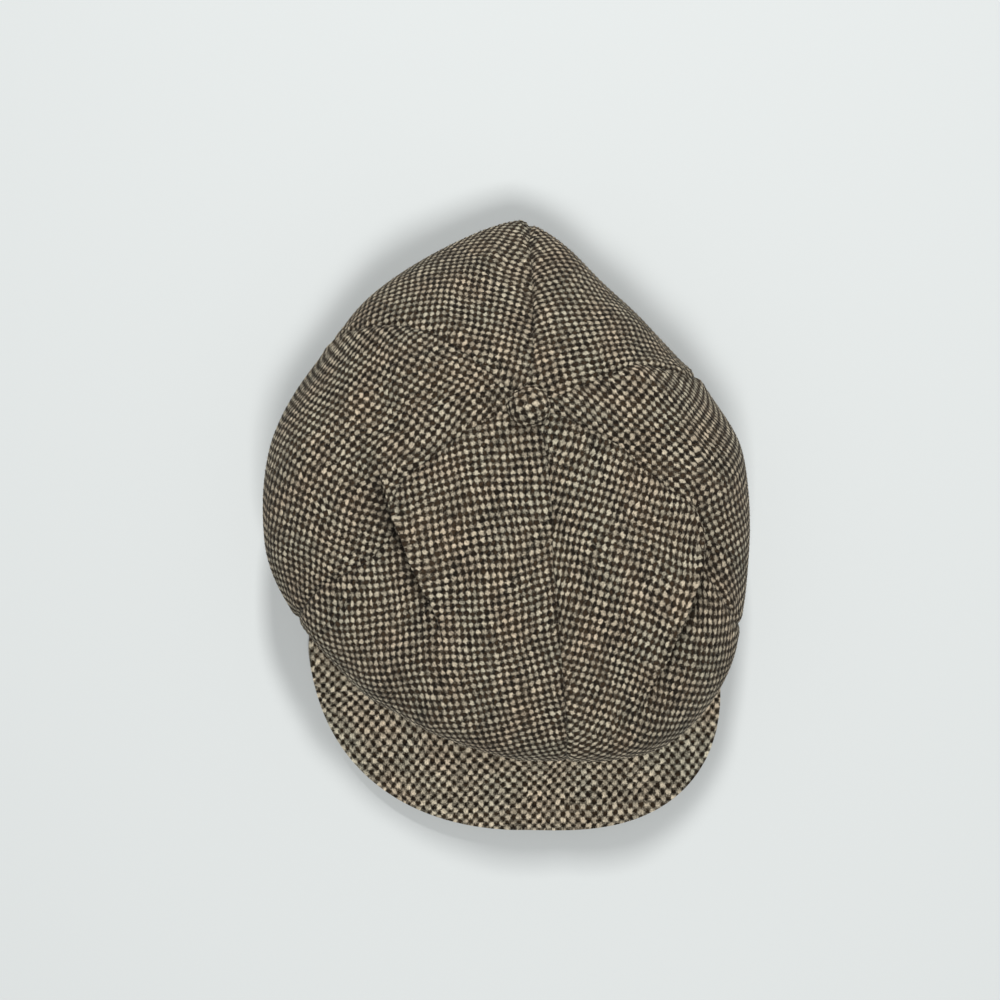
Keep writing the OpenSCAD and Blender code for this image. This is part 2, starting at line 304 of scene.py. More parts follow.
def flatten(grid):
    """Lays a panel out flat, as its paper pattern, with its centre line along the first axis."""
    plain = cloth_object("pattern", grid, np.zeros(grid.shape[:2] + (2,)), None)
    bpy.context.view_layer.objects.active = plain
    plain.select_set(True)
    bpy.ops.object.mode_set(mode="EDIT")
    bpy.ops.mesh.select_all(action="SELECT")
    bpy.ops.uv.unwrap(method="MINIMUM_STRETCH", iterations=12, margin=0)
    bpy.ops.object.mode_set(mode="OBJECT")
    mesh = plain.data
    corner = np.empty(len(mesh.loops), np.int32)
    mesh.loops.foreach_get("vertex_index", corner)
    laid = np.empty(len(mesh.loops) * 2, np.float32)
    mesh.uv_layers.active.data.foreach_get("uv", laid)
    uv = np.zeros((len(mesh.vertices), 2))
    uv[corner] = laid.reshape(-1, 2)
    uv = uv.reshape(grid.shape[:2] + (2,))
    bpy.data.objects.remove(plain)
    sizes = [np.linalg.norm(np.diff(a, axis=0), axis=-1).sum() for a in (grid, uv)]
    middle = grid.shape[1] // 2
    uv = (uv - uv[-1, middle]) * sizes[0] / sizes[1]
    way = uv[len(uv) // 4, middle] - uv[-len(uv) // 3, middle]
    along = way / np.linalg.norm(way)
    laid = np.stack([uv @ along, uv @ [-along[1], along[0]]], -1)
    across = laid[len(uv) // 2]
    if across[-1, 1] < across[0, 1]:
        laid[..., 1] *= -1
    return laid


def turned(uv, degrees, skew=0.0):
    """The cloth's coordinates, with its grain turned and its yarns pulled out of square."""
    c, s = math.cos(math.radians(degrees)), math.sin(math.radians(degrees))
    return uv @ np.array([[c, s], [-s, c]]) @ np.array([[1, skew], [skew, 1]])


def beside(plan, path):
    """How points lie beside a smooth path: their distance from it, positive on its left as one
    walks it, the share of it walked, and the way along it. Points far from it get none."""
    path = spline_weights(len(path), np.linspace(0, 1, 6 * len(path))) @ np.array(path) * MM
    steps = np.linalg.norm(np.diff(path, axis=0), axis=1)
    walked = np.concatenate([[0], np.cumsum(steps)])
    distance, share = np.full(plan.shape[:-1], 1.0), np.zeros(plan.shape[:-1])
    way = np.zeros(plan.shape)
    near = np.all((plan > path.min(0) - 0.06) & (plan < path.max(0) + 0.06), axis=-1)
    some = plan[near]
    nearest = np.full(len(some), np.inf)
    results = np.zeros((len(some), 4))
    for i, step in enumerate(steps):
        here = (path[i + 1] - path[i]) / step
        to = some - path[i]
        along = np.clip(to @ here, 0, step)
        off = np.linalg.norm(to - along[:, None] * here, axis=-1)
        side = np.where(here[0] * to[:, 1] - here[1] * to[:, 0] >= 0, 1, -1)
        found = np.column_stack([off * side, (walked[i] + along) / walked[-1],
                                 np.full(len(some), here[0]), np.full(len(some), here[1])])
        closer = off < nearest
        nearest = np.where(closer, off, nearest)
        results = np.where(closer[:, None], found, results)
    distance[near], share[near] = results[:, 0], results[:, 1]
    way[near] = results[:, 2:]
    return distance, share, way


# The crown's soft folds, in plan and millimetres. Along its path, a fold's cloth stands proud on
# the left and rolls over the hollow on the right. strength is how full the fold is at even steps;
# the rest are the heights of its crest and hollow, how far they reach, and how far it rolls over.
folds = [
    # over the right front: the front panel sags over the side panel
    {"path": [(-66, 50), (-60, 29), (-55, 11), (-52, 2), (-48.5, -9), (-46, -18), (-42, -28),
              (-38, -38), (-35, -50), (-33, -72)],
     "strength": (0, 0.2, 0.75, 1, 1, 0.8, 0.62, 0.42, 0.22, 0),
     "crest": 2.4, "hollow": 4.2, "crest_reach": 15, "hollow_reach": 10, "roll": 2.2},
    # over the left front, down to the deepest pocket of the crown
    {"path": [(58, -98), (66, -84), (72, -72), (77, -60), (81, -50), (85, -41), (89, -32),
              (92.5, -24), (94.5, -14), (94, -4), (91, 7), (86, 16)],
     "strength": (0, 0.14, 0.34, 0.55, 0.75, 0.95, 1, 1, 0.85, 0.6, 0.3, 0),
     "crest": 4.2, "hollow": 7.0, "crest_reach": 22, "hollow_reach": 12, "roll": 3.2},
]
# Ridges and valleys: the path, the width and the height
swells = [
    ([(68, 71), (81, 57), (88, 38), (92, 16), (94, -4)], 7, 1.8),
    ([(2, 138), (-22, 118), (-20, 97), (0, 70)], 7, 1.8),
    ([(4, 49), (4, 42), (3, 34)], 9, -2.2),
    ([(-60, 88), (-58, 62), (-57, 40), (-56, 20)], 9, -2.2),
    ([(-34, -10), (-24, -60), (-26, -100)], 14, -1.3),
    ([(62, -10), (54, -60), (44, -96)], 13, -1.2),
    ([(30, 100), (62, 70), (96, 62)], 10, 1.2),
    ([(100, 20), (102, -6), (100, -32), (92, -60)], 8, -1.6),
]


def fold_shift(points, normal, t, spare=0):
    """How the crown's slack moves each point, and how deep in a fold's hollow the point lies.

    The lining has to stay under the crown, so its hollows reach spare mm further towards the
    crest and are half as much deeper.
    """
    plan = points[::4, ::4, :2]
    shown = ease((0.72 - t) / 0.12) * ease(t / 0.06)
    shift, crease = np.zeros(points.shape), np.zeros(t.shape)
    for fold in folds:
        distance, share, way = beside(plan, fold["path"])
        strength = np.interp(share, np.linspace(0, 1, len(fold["path"])), fold["strength"])
        fields = np.dstack([np.clip(distance / MM, -60, 60), strength, way])
        fields = refine(fields, *t.shape)
        d, strength, way = fields[..., 0] - spare, fields[..., 1] * shown, fields[..., 2:]
        rolled = ease((d + 2) / 4)
        crest = fold["crest"] * np.exp(-np.maximum(d - 2, 0) / fold["crest_reach"])
        hollow = -(fold["hollow"] + 0.5 * spare) * np.exp(np.minimum(d + 2, 0) / fold["hollow_reach"])
        height = blend(hollow, crest, rolled)
        over = blend(-1.0, 1.0, rolled) * np.exp(-np.maximum(np.abs(d) - 2, 0) / 7)
        right = np.stack([way[..., 1], -way[..., 0], np.zeros(t.shape)], -1)
        shift += normal * (height * strength * MM)[..., None]
        shift += right * (over * fold["roll"] * strength * MM)[..., None]
        # how deep in a fold's hollow each point lies; on the crown this darkens the tweed as painted
        # shade
        deep = ease((2 - d) / 3) * np.exp(np.minimum(d + 4.5, 0) / fold["hollow"])
        crease = np.maximum(crease, 0.85 * deep * strength)
    for path, width, amount in swells:
        swell = amount * MM * np.exp(-(beside(plan, path)[0] / (width * MM)) ** 2)
        shift += normal * refine(swell[..., None], *t.shape) * shown[..., None]
    return shift, crease


def fill(tree, node, inputs):
    """Links or fills a node's inputs. A node given for one stands for its first output."""
    for name, value in inputs.items():
        if isinstance(value, bpy.types.Node):
            value = value.outputs[0]
        if isinstance(value, bpy.types.NodeSocket):
            tree.links.new(value, node.inputs[name])
        else:
            node.inputs[name].default_value = value


def add(tree, kind, inputs=None, **settings):
    """Adds a shader node with its settings and links."""
    made = tree.nodes.new("ShaderNode" + kind)
    for name, value in settings.items():
        setattr(made, name, value)
    fill(tree, made, inputs or {})
    return made


def start_material(name):
    """A new material, with its node tree and the shader that its colour and finish go into."""
    material = bpy.data.materials.new(name)
    material.use_nodes = True
    return material, material.node_tree, material.node_tree.nodes["Principled BSDF"]


def colour(code):
    """An sRGB hex value as linear RGBA."""
    parts = [int(code[i:i + 2], 16) / 255 for i in (1, 3, 5)]
    linear = [c / 12.92 if c <= 0.04045 else ((c + 0.055) / 1.055) ** 2.4 for c in parts]
    return (*linear, 1)


def basket_tweed(name, threshold, brightness):
    """Woollen basket-weave tweed: cream warp and black-brown weft, two yarns up and two down.

    Milled wool scatters light from a fuzz of fibres, so it is rough with a soft sheen. A higher
    threshold leaves less of the face to the cream yarns.
    """
    material, tree, shader = start_material(name)
    cloth = add(tree, "UVMap", uv_map="cloth")

    # the blocks of the weave, shaken out of line by the milling
    hairy = add(tree, "TexNoise", {"Vector": cloth, "Scale": 560, "Detail": 3},
                noise_dimensions="2D").outputs["Color"]
    shaken = add(tree, "VectorMath", {0: hairy, 1: (-0.5, -0.5, -0.5)}, operation="ADD")
    shaken = add(tree, "VectorMath", {0: shaken, "Scale": 2.3 * MM}, operation="SCALE")
    loose = add(tree, "VectorMath", {0: cloth, 1: shaken}, operation="ADD")
    cells = add(tree, "VectorMath", {0: loose, "Scale": 1 / block}, operation="SCALE")
    cell_x, cell_y = add(tree, "SeparateXYZ", {0: cells}).outputs[:2]
    across = add(tree, "Math", {0: cell_x, 1: math.pi}, operation="MULTIPLY")
    across = add(tree, "Math", {0: across}, operation="SINE")
    along = add(tree, "Math", {0: cell_y, 1: math.pi}, operation="MULTIPLY")
    along = add(tree, "Math", {0: along}, operation="SINE")
    wave = add(tree, "Math", {0: across, 1: along}, operation="MULTIPLY")
    # a float bellies out along its own yarns and is nipped in at its sides
    belly = add(tree, "Math", {0: along}, operation="ABSOLUTE")
    belly = add(tree, "Math", {0: belly, 1: 0.35, 2: 0.65}, operation="MULTIPLY_ADD")
    wave = add(tree, "Math", {0: wave, 1: belly}, operation="MULTIPLY")
    fibre = add(tree, "TexNoise", {"Vector": cloth, "Scale": 1500, "Detail": 4}, noise_dimensions="2D")
    frayed = add(tree, "Math", {0: fibre, 1: 0.6, 2: -0.3}, operation="MULTIPLY_ADD")
    edge = add(tree, "Math", {0: wave, 1: frayed}, operation="ADD")
    cream = add(tree, "MapRange", {0: edge, 1: threshold - 0.45, 2: threshold + 0.55},
                interpolation_type="SMOOTHSTEP")

    # each float and each yarn has its own tone, and every yarn is round
    floor = add(tree, "VectorMath", {0: cells}, operation="FLOOR")
    float_tone = add(tree, "TexWhiteNoise", {"Vector": floor}, noise_dimensions="2D")
    yarns = add(tree, "VectorMath", {0: cells, 1: (2, 2, 0)}, operation="MULTIPLY")
    tones, rounds = [], []
    for yarn in add(tree, "SeparateXYZ", {0: yarns}).outputs[:2]:
        number = add(tree, "Math", {0: yarn}, operation="FLOOR")
        tones.append(add(tree, "TexWhiteNoise", {"W": number}, noise_dimensions="1D"))
        turn = add(tree, "Math", {0: yarn, 1: math.pi}, operation="MULTIPLY")
        turn = add(tree, "Math", {0: turn}, operation="SINE")
        rounds.append(add(tree, "Math", {0: turn}, operation="ABSOLUTE"))
    warp_tone, weft_tone = tones
    warp_round, weft_round = rounds
    yarn_round = add(tree, "Mix", {0: cream, 2: weft_round, 3: warp_round})
    block_round = add(tree, "Math", {0: wave}, operation="ABSOLUTE")
    block_round = add(tree, "Math", {0: block_round, 1: 0.5}, operation="POWER")

    patches = add(tree, "TexNoise", {"Vector": cloth, "Scale": 42, "Detail": 2}, noise_dimensions="2D")
    hue = add(tree, "MapRange", {0: patches, 1: 0.25, 2: 0.75})
    cream_tone = add(tree, "Math", {0: float_tone, 1: 0.38, 2: 0.18}, operation="MULTIPLY_ADD")
    cream_tone = add(tree, "Math", {0: warp_tone, 1: 0.16, 2: cream_tone}, operation="MULTIPLY_ADD")
    cream_tone = add(tree, "Math", {0: cream_tone, 1: 0.3}, operation="SUBTRACT")
    cream_tone = add(tree, "Math", {0: fibre, 1: 0.9, 2: cream_tone}, operation="MULTIPLY_ADD")
    cream_tone = add(tree, "Math", {0: cream_tone, 1: brightness}, operation="MULTIPLY")
    cream_hue = add(tree, "Mix", {0: hue, 6: colour("#D0C8B0"), 7: colour("#D9C6AB")},
                    data_type="RGBA").outputs[2]
    cream_colour = add(tree, "VectorMath", {0: cream_hue, "Scale": cream_tone}, operation="SCALE")
    dark_hue = add(tree, "Mix", {0: weft_tone, 6: colour("#140F0A"), 7: colour("#33281C")},
                   data_type="RGBA").outputs[2]
    dark_tone = add(tree, "Math", {0: fibre, 1: 2.4, 2: 0.1}, operation="MULTIPLY_ADD")
    dark_colour = add(tree, "VectorMath", {0: dark_hue, "Scale": dark_tone}, operation="SCALE")
    face = add(tree, "Mix", {0: cream, 6: dark_colour, 7: cream_colour}, data_type="RGBA").outputs[2]

    # painted shade: the colour is darkened down between the yarns, between the blocks, and by the crease
    # attribute in the seams and folds
    hollow = add(tree, "Math", {0: block_round, 1: 0.6, 2: 0.35}, operation="MULTIPLY_ADD")
    between = add(tree, "Math", {0: yarn_round, 1: 0.25, 2: 0.8}, operation="MULTIPLY_ADD")
    hollow = add(tree, "Math", {0: hollow, 1: between}, operation="MULTIPLY")
    crease = add(tree, "Attribute", attribute_name="crease").outputs["Fac"]
    crease = add(tree, "Math", {0: crease, 1: -0.8, 2: 1.0}, operation="MULTIPLY_ADD")
    hollow = add(tree, "Math", {0: hollow, 1: crease}, operation="MULTIPLY")
    shaded = add(tree, "VectorMath", {0: face, "Scale": hollow}, operation="SCALE")

    height = add(tree, "Math", {0: block_round, 1: 0.6}, operation="MULTIPLY")
    height = add(tree, "Math", {0: yarn_round, 1: 0.3, 2: height}, operation="MULTIPLY_ADD")
    height = add(tree, "Math", {0: fibre, 1: 0.7, 2: height}, operation="MULTIPLY_ADD")
    bump = add(tree, "Bump", {"Height": height, "Strength": 0.7, "Distance": 0.35 * MM})
    fill(tree, shader, {"Base Color": shaded, "Normal": bump, "Roughness": 0.92,
                        "Specular IOR Level": 0.1, "Sheen Weight": 0.1, "Sheen Roughness": 0.5,
                        "Sheen Tint": colour("#D8D0C2")})
    return material


crown_tweed = basket_tweed("basket-weave tweed, crown", 0.1, 1.03)
panels = {
    "front_left": (0, 68), "front_right": (-68, 0), "side_left": (68, 124),
    "side_right": (-124, -68), "back_left": (124, 180), "back_right": (-180, -124),
}
# How far each panel's warp is turned from its centre line, in degrees, and how far the hanging
# cloth has pulled its yarns out of square
grains = {
    "front_left": (6, -0.17), "front_right": (-15, 0.07), "side_left": (18, -0.17),
    "side_right": (5, 0.1), "back_left": (3, -0.07), "back_right": (9, 0.0),
}
coarse_rows, coarse_columns = 61, 25
fine_rows, fine_columns = 381, 201
tuck = np.array([2.4, 1.2]) * MM  # how deep the turned-in edges go


def panel_swell(t, u):
    """How far a panel stands full between its seams."""
    return panel_puff * np.sin(np.pi * u) * np.clip(4 * t, 0, 1) * np.clip(4 * (1 - t), 0, 1)


def over_visor(points):
    """1 in the middle of the front, which the lifted visor comes up under, and 0 at the sides."""
    return ease((76 * MM - np.abs(points[..., 0])) / (30 * MM)) * (points[..., 1] < 0)


def crown_grid(start, end, puffed):
    """A panel of the crown before its folds, full between its seams where puffed is 1."""
    line, band_angle, t, u = panel_lines(start, end, coarse_rows, coarse_columns)
    return crown_point(line, band_angle, t, 0.0, 0.0, panel_swell(t, u) * puffed, 0.0, crown_foot, 0.0)


fibre_doublings = 13  # one fibre doubled this often makes 8192
fibres_per_panel = math.ceil(2 ** fibre_doublings / len(panels))
fibre_roots, fibre_ways = [], []
for side, (start, end) in panels.items():
    pattern = flatten(crown_grid(start, end, 1))
    plain = refine(crown_grid(start, end, 0), fine_rows, fine_columns)
    fine = refine(crown_grid(start, end, 1), fine_rows, fine_columns)
    uv = refine(pattern, fine_rows, fine_columns)
    t = np.linspace(0, 1, fine_rows)[:, None] * np.ones(fine_columns)
    smooth = normals_of(plain)
    along = length_along(fine, 0)
    reach = length_along(fine, 1)
    from_seam = np.minimum(reach, reach[:, -1:] - reach)
    shift, pocket = fold_shift(fine, smooth, t)
    fine = fine + shift
    pucker = np.sin(2 * np.pi * along / (13 * MM) + 3 * np.sin(along / (21 * MM)))
    gather = sway(np.stack([reach, 0.25 * along], -1), start + 200, ((17 * MM, 1.0 * MM),))
    soft = sway(fine, 5, ((85 * MM, 1.0 * MM), (42 * MM, 0.45 * MM), (24 * MM, 0.18 * MM)))
    soft = soft * np.clip(from_seam / (12 * MM), 0.25, 1)
    soft += gather * ease((t - 0.76) / 0.16) * ease(from_seam / (6 * MM))
    soft += 0.35 * MM * pucker * np.exp(-((from_seam - 4 * MM) / (4 * MM)) ** 2)
    groove = -0.75 * MM * np.exp(-(from_seam / (1.4 * MM)) ** 2)
    groove += 0.3 * MM * np.exp(-((from_seam - 4.5 * MM) / (2.4 * MM)) ** 2)
    under = ease((t - 0.5) / 0.14)
    soft = soft * blend(1.0, 0.35, under) - 0.9 * MM * (1 - ease((t - 0.03) / 0.06))
    # clear of the visor when it is lifted, right down to the headband
    facing = under * over_visor(fine)
    soft -= MM * facing * blend(1.2, 2.8, ease((1 - t) / 0.012))
    fine = fine + smooth * (soft + groove * ease(t / 0.05))[..., None]
    for step, rounds in ((10, 150), (5, 120), (2, 110)):
        loose = settle(uv[::step, ::step], fine[::step, ::step], rounds) - uv[::step, ::step]
        uv = uv + refine(loose, fine_rows, fine_columns)
    uv = turned(wander(uv, 7), *grains[side])
    # painted shade: the tweed's colour is darkened along each seam and in the folds' hollows
    crease = np.maximum(0.45 * np.exp(-(from_seam / (0.9 * MM)) ** 2), pocket)
    lift = weave_depth * (weave_relief(uv) - 0.5) * ease(from_seam / (1.6 * MM))
    fine = fine + normals_of(fine) * lift[..., None]
    rng = np.random.default_rng(start + 300)
    some = (rng.integers(8, int(0.9 * fine_rows), fibres_per_panel),
            rng.integers(4, fine_columns - 4, fibres_per_panel))
    fibre_roots.append(fine[some])
    fibre_ways.append(normals_of(fine)[some])
    band_way = band_point(blend(float(start), float(end), np.linspace(0, 1, fine_columns)), 1.0)
    band_way = band_way / np.linalg.norm(band_way, axis=-1, keepdims=True)
    inward = np.concatenate([-band_way, np.zeros((fine_columns, 1))], -1)[None]
    below = [fine[-1:] + inward * d + np.array([0, 0, 0.2 * MM]) for d in (0.8 * MM, 1.9 * MM)]
    fine = np.concatenate([fine] + below)
    uv = np.concatenate([uv] + [uv[-1:]] * 2)
    smooth = np.concatenate([smooth] + [smooth[-1:]] * 2)
    # painted shade: the turned-in rows at the band and the tucked edges at the seams are darkened fully
    crease = np.concatenate([crease] + [np.ones((2, fine_columns))])
    crease = np.pad(crease, ((0, 0), (2, 2)), constant_values=1)
    left = [fine[:, :1] - smooth[:, :1] * d for d in tuck]
    right = [fine[:, -1:] - smooth[:, -1:] * d for d in tuck[::-1]]
    fine = np.concatenate(left + [fine] + right, axis=1)
    uv = np.concatenate([uv[:, :1]] * 2 + [uv] + [uv[:, -1:]] * 2, axis=1)
    panel = cloth_object(f"crown_{side}", fine, uv, crown_tweed, crease)
    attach(panel, "cap")
    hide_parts(f"crown_panel_{side}")
    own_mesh(panel)

# The wool's loose fibre ends stand up from the milled face, each one bent over.
fibre = bmesh.new()
bmesh.ops.create_cone(fibre, segments=3, radius1=1, radius2=1, depth=1, cap_ends=False)
top = [v for v in fibre.verts if v.co.z > 0]
rim = [e for e in fibre.edges if all(v.co.z > 0 for v in e.verts)]
tip = bmesh.ops.extrude_edge_only(fibre, edges=rim)["geom"]
tip = [v for v in tip if isinstance(v, bmesh.types.BMVert)]
bmesh.ops.translate(fibre, verts=tip, vec=(0, 0, 1))
bmesh.ops.pointmerge(fibre, verts=tip, merge_co=(0, 0, 1.5))
bmesh.ops.holes_fill(fibre, edges=fibre.edges[:], sides=3)
bmesh.ops.recalc_face_normals(fibre, faces=fibre.faces[:])
per_fibre = len(fibre.verts)
for _ in range(fibre_doublings):
    bmesh.ops.duplicate(fibre, geom=fibre.verts[:] + fibre.edges[:] + fibre.faces[:])
mesh = as_mesh(fibre, "crown_fuzz")
shape = np.empty(len(mesh.vertices) * 3, np.float32)
mesh.vertices.foreach_get("co", shape)
shape = shape.reshape(-1, per_fibre, 3)
count = len(shape)
roots, up = np.concatenate(fibre_roots)[:count], np.concatenate(fibre_ways)[:count]
rng = np.random.default_rng(3)
lean = np.cross(up, rng.normal(size=(count, 3)))
lean /= np.linalg.norm(lean, axis=1, keepdims=True)
bent = np.cross(up, lean) * rng.uniform(-1, 1, (count, 1)) + lean
size = rng.uniform(0.5, 1.3, (count, 1)) * MM
middle = roots + up * size * rng.uniform(0.3, 0.8, (count, 1)) + lean * size * 0.6
end = middle + up * size * rng.uniform(-0.3, 0.5, (count, 1)) + bent * size * 0.8
level = shape[..., 2:]
line = np.where(level < 0, (roots - up * 0.2 * MM)[:, None], middle[:, None])
line = np.where(level > 1, end[:, None], line)
side_way = np.cross(up, lean)[:, None]
round_off = shape[..., :1] * lean[:, None] + shape[..., 1:2] * side_way
placed = line + round_off * 0.04 * MM
mesh.vertices.foreach_set("co", placed.reshape(-1).astype(np.float32))
mesh.update()
mesh.shade_smooth()
fibre_wool, tree, shader = start_material("loose wool fibre ends")
place = add(tree, "TexCoord").outputs["Object"]
tone = add(tree, "TexNoise", {"Vector": place, "Scale": 300, "Detail": 2})
fibre_face = add(tree, "Mix", {0: tone, 6: colour("#3B3126"), 7: colour("#B5A996")}, data_type="RGBA")
fill(tree, shader, {"Base Color": fibre_face.outputs[2], "Roughness": 0.8})
mesh.materials.append(fibre_wool)
fuzz = new_object("crown_fuzz", mesh)
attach(fuzz, "cap")
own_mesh(fuzz)

# ---------------------------------------------------------------------------------------------
# Covered button
# A disc of the same tweed, gathered over a pressed steel shell and clamped by its back. The
# shank goes through the crown into a washer.
# ---------------------------------------------------------------------------------------------
button_tweed = basket_tweed("basket-weave tweed, button", 0.1, 1.08)
side_steps = 72
a, b = np.meshgrid(np.linspace(-1, 1, side_steps), np.linspace(-1, 1, side_steps))
disc = np.stack([a * np.sqrt(1 - b * b / 2), b * np.sqrt(1 - a * a / 2)], -1)
share = np.linalg.norm(disc, axis=-1)
way = disc / np.maximum(share, 1e-9)[..., None]
button_radius = (button_high.x - button_low.x) / 2
button_top = button_high.z - button_low.z
arc = np.clip(share / 0.8, 0, 1) * math.pi / 2
tucked = np.clip((share - 0.8) / 0.2, 0, 1)
radius = (button_radius + 0.2 * MM) * np.sin(arc) - 1.6 * MM * tucked ** 1.5
height = button_low.z + 1.4 * MM + (button_top - 1.3 * MM) * np.cos(arc) - 1.9 * MM * tucked
angle = np.arctan2(disc[..., 1], disc[..., 0])
radius += 0.35 * MM * np.sin(11 * angle + 1.2 * np.sin(3 * angle)) * ease((share - 0.55) / 0.3)
radius += 0.25 * MM * np.sin(2 * angle + 0.7) * ease(share)
grid = np.concatenate([way * radius[..., None] + button_place, height[..., None]], -1)
button_uv = turned(disc * 15.5 * MM, 30) + 0.7 * block
bump = weave_depth * (weave_relief(button_uv) - 0.5) * ease((1 - share) / 0.1)
grid[..., 2] += bump * np.cos(arc)
grid[..., :2] += way * (bump * np.sin(arc))[..., None]
button = cloth_object("button_cloth", grid[::-1], button_uv[::-1], button_tweed)
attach(button, "button")
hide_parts("button_cover")

# Pressed steel, zinc plated: dull, with the fine scuffs of the press
button_steel, tree, shader = start_material("pressed zinc-plated steel")
place = add(tree, "TexCoord").outputs["Object"]
scuffs = add(tree, "TexNoise", {"Vector": place, "Scale": 900, "Detail": 4})
steel_face = add(tree, "Mix", {0: scuffs, 6: colour("#8E9093"), 7: colour("#B4B6B8")}, data_type="RGBA")
steel_rough = add(tree, "MapRange", {0: scuffs, 3: 0.3, 4: 0.5})
fill(tree, shader, {"Base Color": steel_face.outputs[2], "Roughness": steel_rough, "Metallic": 1})
for node in ("button_shell", "button_back", "button_washer"):
    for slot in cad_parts[node].material_slots:
        slot.material = button_steel

# ---------------------------------------------------------------------------------------------
# Lining
# Six panels of black acetate satin, seamed like the crown and hung loose inside it. Its lower
# edge is caught between the stiffener and the sweatband.
# ---------------------------------------------------------------------------------------------
satin, tree, shader = start_material("black acetate satin")
cloth = add(tree, "UVMap", uv_map="cloth")
# Satin yarns are 0.15 mm apart; they are drawn coarser so that they show.
satin_scale = 2500 / 6.283
threads = add(tree, "TexWave", {"Vector": cloth, "Scale": satin_scale, "Distortion": 1.5, "Detail": 2},
              wave_type="BANDS")
cloudy = add(tree, "TexNoise", {"Vector": cloth, "Scale": 60, "Detail": 3}, noise_dimensions="2D")
satin_face = add(tree, "Mix", {0: cloudy, 6: colour("#1B1A1C"), 7: colour("#2A282B")}, data_type="RGBA")
satin_bump = add(tree, "Bump", {"Height": threads, "Strength": 0.15, "Distance": 0.1 * MM})
fill(tree, shader, {"Base Color": satin_face.outputs[2], "Normal": satin_bump, "Roughness": 0.38,
                    "Sheen Weight": 0.2, "Anisotropic": 0.5})

lining_inset = crown_cloth + 2.9 * MM
lining_slack = 5 * MM
lining_rows, lining_columns = 153, 81
for side, (start, end) in panels.items():
    line, band_angle, t, u = panel_lines(start, end, 41, 17)
    coarse = crown_point(line, band_angle, t, lining_inset, lining_slack, panel_swell(t, u),
                         3.45 * MM, band_height - 3 * MM, 14 * MM)
    pattern = flatten(coarse)
    fine = refine(coarse, lining_rows, lining_columns)
    uv = refine(pattern, lining_rows, lining_columns)
    smooth = normals_of(fine)
    t = np.linspace(0, 1, lining_rows)[:, None] * np.ones(lining_columns)
    shift, pocket = fold_shift(fine, smooth, t, 6)
    inner = np.minimum((shift * smooth).sum(-1), 0) - 3 * MM * ease(pocket)
    inner -= 1.8 * MM * over_visor(fine) * ease((t - 0.5) / 0.14) * ease((1 - t) / 0.05)
    from_button = np.linalg.norm(fine[..., :2] - button_place, axis=-1)
    inner -= 3.2 * MM * np.exp(-(from_button / (16 * MM)) ** 2)
    reach = length_along(fine, 1)
    from_seam = np.minimum(reach, reach[:, -1:] - reach)
    crease = sway(np.stack([reach, 0.3 * length_along(fine, 0)], -1), start + 400,
                  ((26 * MM, 0.55 * MM), (12 * MM, 0.25 * MM)))
    crease = crease * ease(from_seam / (8 * MM)) * ease((1 - t) / 0.1) - 0.5 * MM
    seam = 0.7 * MM * np.exp(-(from_seam / (1.4 * MM)) ** 2) * ease((1 - t) / 0.1)
    # both panels at a seam give way towards the same point, so the seam stays shut
    give = fine - np.array([0, 0, 10 * MM])
    give /= np.linalg.norm(give, axis=-1, keepdims=True)
    fine = fine + give * inner[..., None] + smooth * (crease + seam)[..., None]
    panel = cloth_object(f"lining_{side}", fine, uv, satin)
    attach(panel, "cap")
    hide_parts(f"lining_panel_{side}")
    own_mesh(panel)

# ---------------------------------------------------------------------------------------------
# Headband and stiffener
# A straight strip of the same tweed, 28 mm high, with its edges turned in and its ends sewn at
# the back. A strip of buckram behind it holds it up. Its front edge arches over the visor.
# ---------------------------------------------------------------------------------------------
horn_angle = 72  # where the visor ends on the headband, in degrees from the front
horn_x = band_x * math.sin(math.radians(horn_angle))
visor_arch = 9 * MM
band_columns = 1100
band_angle = np.linspace(-180, 180, band_columns)
around = np.concatenate([[0], np.cumsum(np.linalg.norm(np.diff(band_point(band_angle, 0), axis=0),
                                                       axis=-1))])


def band_foot(angle):
    """The height of the headband's lower edge, which the visor's root arches up in front."""
    share = np.clip(np.sin(np.radians(angle)) * band_x / horn_x, -1, 1)
    return np.where(np.abs(angle) < horn_angle, visor_arch * (1 - share ** 2), 0)


def band_strip(profile, columns):
    """A strip round the head. profile gives inset, share of the height and offset in height."""
    angle = np.linspace(-180, 180, columns)
    foot = band_foot(angle)
    rows = []
    for inset, share, offset in profile:
        plan = band_point(angle, inset)
        rows.append(np.column_stack([plan, blend(foot, band_height, share) + offset]))
    return np.array(rows)


def follow_visor(piece):
    """Bakes the piece's place into its mesh. The band's front lower edge is sewn to the visor."""
    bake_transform(piece)


band_rows = 44
shares = np.linspace(1, 0, band_rows)
profile = [(1.9 * MM, 1, -0.9 * MM), (1.2 * MM, 1, -0.2 * MM), (0.5 * MM, 1, 0.0)]
profile += [(0.15 * MM * (1 - math.sin(math.pi * s)), s, 0.35 * MM * (1 - 2 * s)) for s in shares]
profile += [(0.5 * MM, 0, 0.02 * MM), (1.2 * MM, 0, 0.0), (1.9 * MM, 0, 0.4 * MM), (2.0 * MM, 0, 5 * MM)]
grid = band_strip(profile, band_columns)
down = length_along(grid[:, :1], 0)
uv = np.stack([down * np.ones(band_columns), around * np.ones((len(profile), 1))], -1)
uv = wander(uv, 21)
relief = weave_depth * (weave_relief(uv) - 0.5)
to_seam = np.minimum(around, around[-1] - around)
relief = relief - 1.3 * MM * np.exp(-(to_seam / (1.3 * MM)) ** 2)
relief[:2] = 0
relief[-2:] = 0
grid = grid + normals_of(grid) * relief[..., None]
band_tweed = basket_tweed("basket-weave tweed, headband", 0.1, 1.03)
headband = cloth_object("headband_cloth", grid, uv, band_tweed)
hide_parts("headband")
follow_visor(headband)

